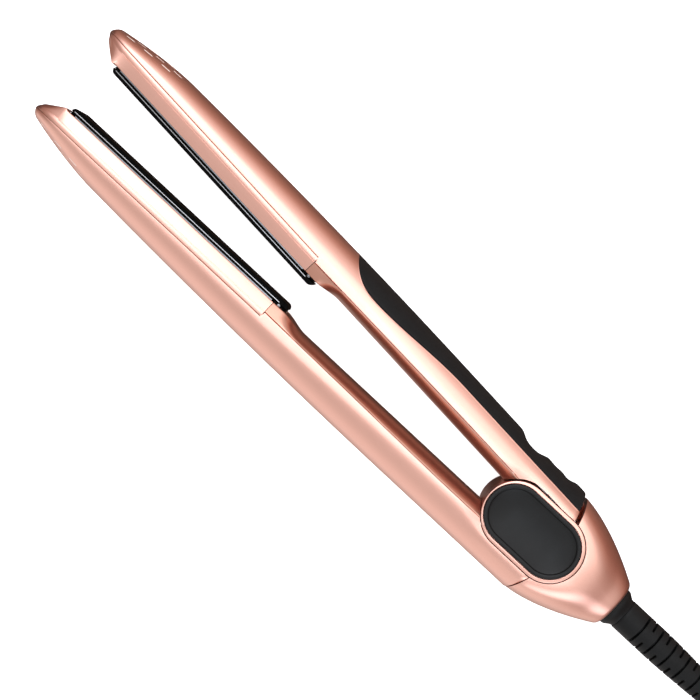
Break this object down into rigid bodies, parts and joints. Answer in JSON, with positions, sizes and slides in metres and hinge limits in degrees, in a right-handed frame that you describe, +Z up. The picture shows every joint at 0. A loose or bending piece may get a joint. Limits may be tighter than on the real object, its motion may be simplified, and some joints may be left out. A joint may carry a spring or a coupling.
{
  "type": "flat iron",
  "caption": "Hair straightening iron lying on its side, its sprung arms open, with floating heated plates, a soft grip, side hinge caps and a swivel mains cord.",
  "frame": {"origin": "on the surface that the iron lies on, below the middle of the hinge pin, which runs along Z", "axes": "+Z up along the hinge pin, +X along the fixed arm towards the plate tips, +Y from the plates' meeting plane towards the fixed arm"},
  "size_m": [0.568, 0.0666, 0.033],
  "materials": {
    "rose_gold": "satin metallic rose-gold lacquer on moulded plastic",
    "plate_black": "polished black ceramic glaze",
    "silver": "bright",
    "soft_black": "matte, soft touch",
    "cord_black": "satin",
    "steel": "plated",
    "ceramic_white": "fired ceramic",
    "board_green": "solder mask",
    "brass": "bright",
    "silicone": "matte",
    "wire_red": "matte"
  },
  "bodies": {
    "fixed_arm": {"fixed_arm_shell": "rose_gold", "fixed_handle_cover": "rose_gold", "fixed_plate_frame": "rose_gold", "fixed_float_pad": "silicone", "fixed_heater_lead_live": "wire_red", "fixed_heater_lead_return": "wire_red", "hinge_hub": "rose_gold", "hinge_pin": "steel", "return_spring": "steel", "upper_hinge_cap": "soft_black", "lower_hinge_cap": "soft_black", "tail_housing": "rose_gold", "contact_block": "ceramic_white", "control_board": "board_green", "power_module": "soft_black", "control_chip": "soft_black", "plate_relay": "soft_black", "front_board_screw": "steel", "rear_board_screw": "steel", "thermal_fuse": "ceramic_white", "cord_lead": "cord_black", "cord_end": "cord_black", "cord_hank": "cord_black", "cord_tie": "soft_black", "plug_body": "cord_black", "plug_blade_near": "brass", "plug_blade_far": "brass"},
    "fixed_plate": {"fixed_heating_plate": "plate_black", "fixed_plate_base": "silver", "fixed_rear_clip": "plate_black", "fixed_front_clip": "silver", "fixed_heater": "ceramic_white", "fixed_plate_carrier": "soft_black", "fixed_temperature_sensor": "brass"},
    "moving_arm": {"moving_arm_shell": "rose_gold", "moving_handle_cover": "rose_gold", "moving_plate_frame": "rose_gold", "moving_float_pad": "silicone", "moving_heater_lead_live": "wire_red", "moving_heater_lead_return": "wire_red", "soft_grip": "soft_black", "button_board": "board_green", "hinge_lug": "steel"},
    "moving_plate": {"moving_heating_plate": "plate_black", "moving_plate_base": "silver", "moving_rear_clip": "plate_black", "moving_front_clip": "silver", "moving_heater": "ceramic_white", "moving_plate_carrier": "soft_black", "moving_temperature_sensor": "brass"},
    "power_key": {"power_button": "soft_black"},
    "temperature_up_key": {"temperature_up_button": "soft_black"},
    "temperature_down_key": {"temperature_down_button": "soft_black"},
    "cord_swivel_body": {"swivel_collar": "cord_black", "front_contact_ring": "brass", "rear_contact_ring": "brass", "strain_relief": "cord_black"}
  },
  "joints": [
    {"name": "fixed_plate_float", "type": "slide", "parent": "fixed_arm", "child": "fixed_plate", "axis": [0, 1, 0], "range_m": [0, 0.0008], "stiffness_N_per_m": 1000, "springref_m": -0.0005},
    {"name": "clamp_hinge", "type": "hinge", "parent": "fixed_arm", "child": "moving_arm", "pos_m": [0, 0, 0.0165], "axis": [0, 0, 1], "range_deg": [0, 4.4], "stiffness_Nm_per_rad": 1, "springref_deg": -5.73},
    {"name": "moving_plate_float", "type": "slide", "parent": "moving_arm", "child": "moving_plate", "axis": [-0.0767, -0.9971, 0], "range_m": [0, 0.0008], "stiffness_N_per_m": 1000, "springref_m": -0.0005},
    {"name": "power_press", "type": "slide", "parent": "moving_arm", "child": "power_key", "axis": [0.0767, 0.9971, 0], "range_m": [0, 0.0005], "stiffness_N_per_m": 200, "springref_m": -0.0005},
    {"name": "temperature_up_press", "type": "slide", "parent": "moving_arm", "child": "temperature_up_key", "axis": [0.0767, 0.9971, 0], "range_m": [0, 0.0005], "stiffness_N_per_m": 200, "springref_m": -0.0005},
    {"name": "temperature_down_press", "type": "slide", "parent": "moving_arm", "child": "temperature_down_key", "axis": [0.0767, 0.9971, 0], "range_m": [0, 0.0005], "stiffness_N_per_m": 200, "springref_m": -0.0005},
    {"name": "cord_swivel", "type": "hinge", "parent": "fixed_arm", "child": "cord_swivel_body", "pos_m": [-0.0416, 0, 0.0165], "axis": [1, 0, 0], "continuous": true}
  ]
}
